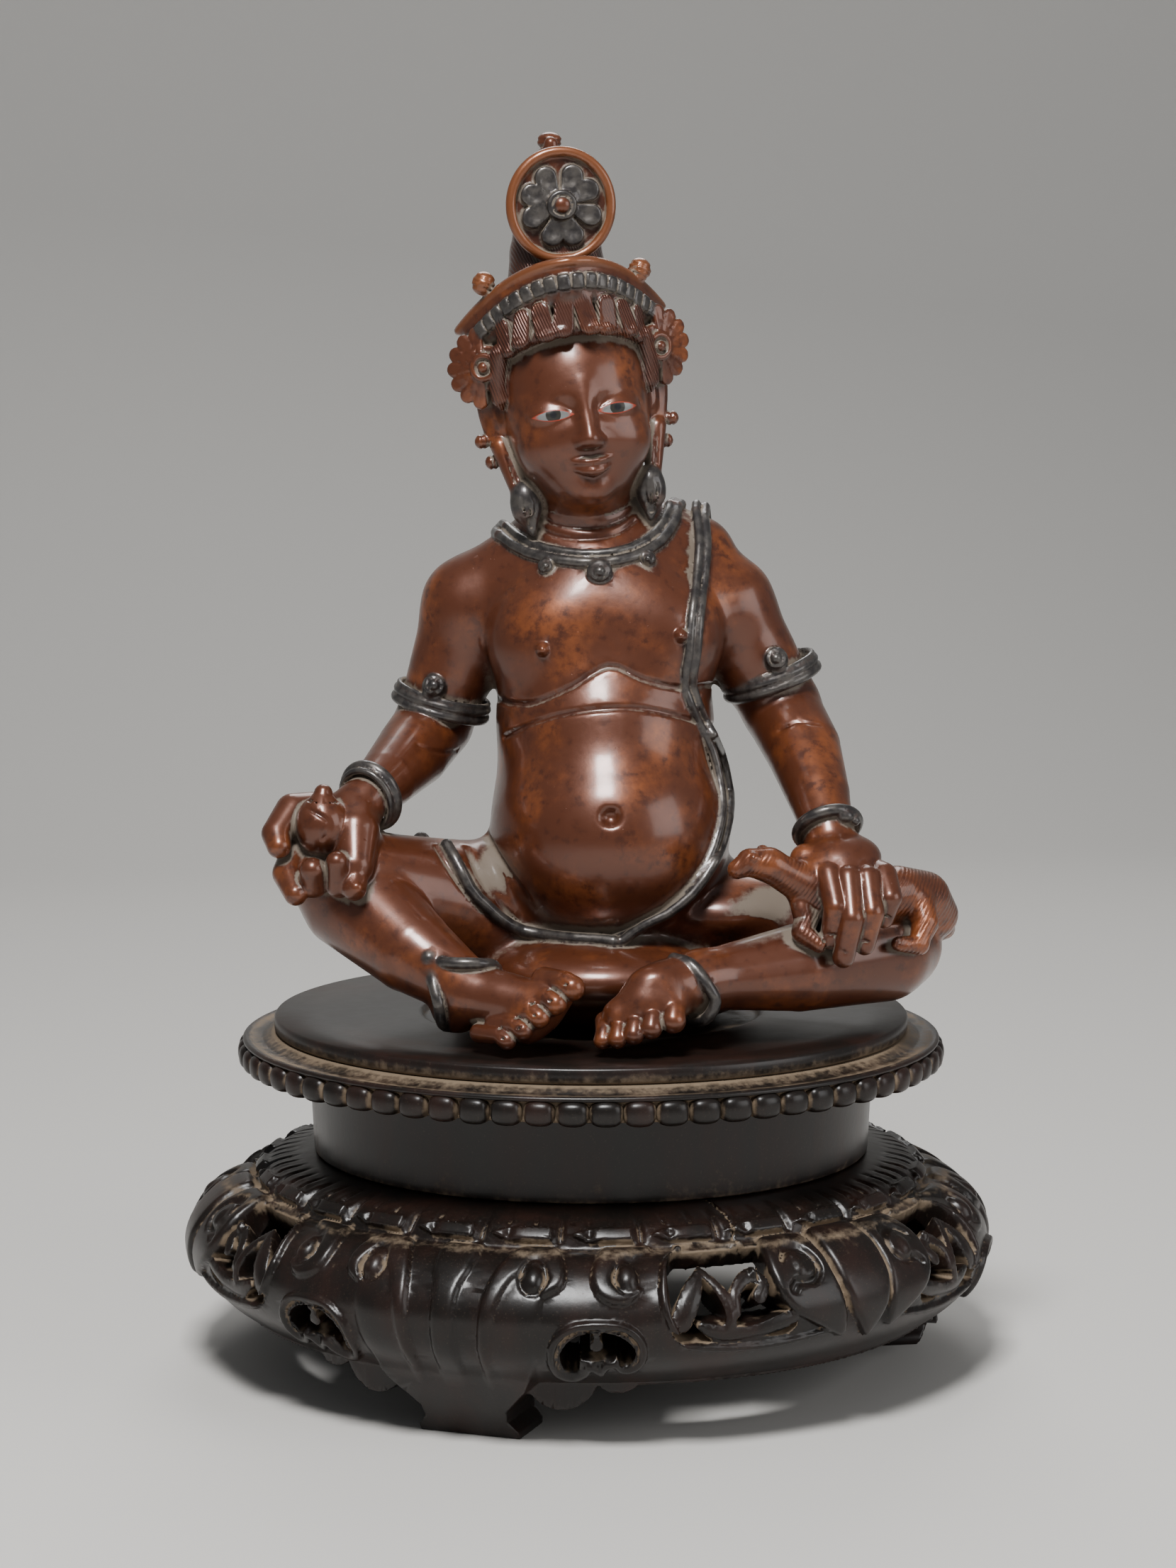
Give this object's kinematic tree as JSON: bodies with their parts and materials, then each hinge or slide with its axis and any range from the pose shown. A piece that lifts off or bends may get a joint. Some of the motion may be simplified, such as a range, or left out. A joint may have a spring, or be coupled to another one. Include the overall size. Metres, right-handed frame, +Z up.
{
  "type": "seated deity figure on stand",
  "caption": "Seated pot-bellied bronze deity with tall crown disc, jewel-fruit and mongoose, on a round beaded and pierced wooden stand with feet.",
  "frame": {"origin": "centre of the footprint, at the bottom of the three feet", "axes": "+Z up; the figure looks along -Y; its left hand with the mongoose is at +X"},
  "size_m": [0.2684, 0.2682, 0.4027],
  "materials": {
    "patinated_bronze": "red-brown copper bronze, hand polished, with darker silver-grey ornaments and painted eyes",
    "dark_wood": "near-black stained and waxed hardwood with pale dust in the carving"
  },
  "bodies": {
    "root": {"kubera_figure": "patinated_bronze", "stand_top_board": "dark_wood", "stand_rim_and_waist": "dark_wood", "stand_carved_base": "dark_wood"}
  },
  "joints": []
}
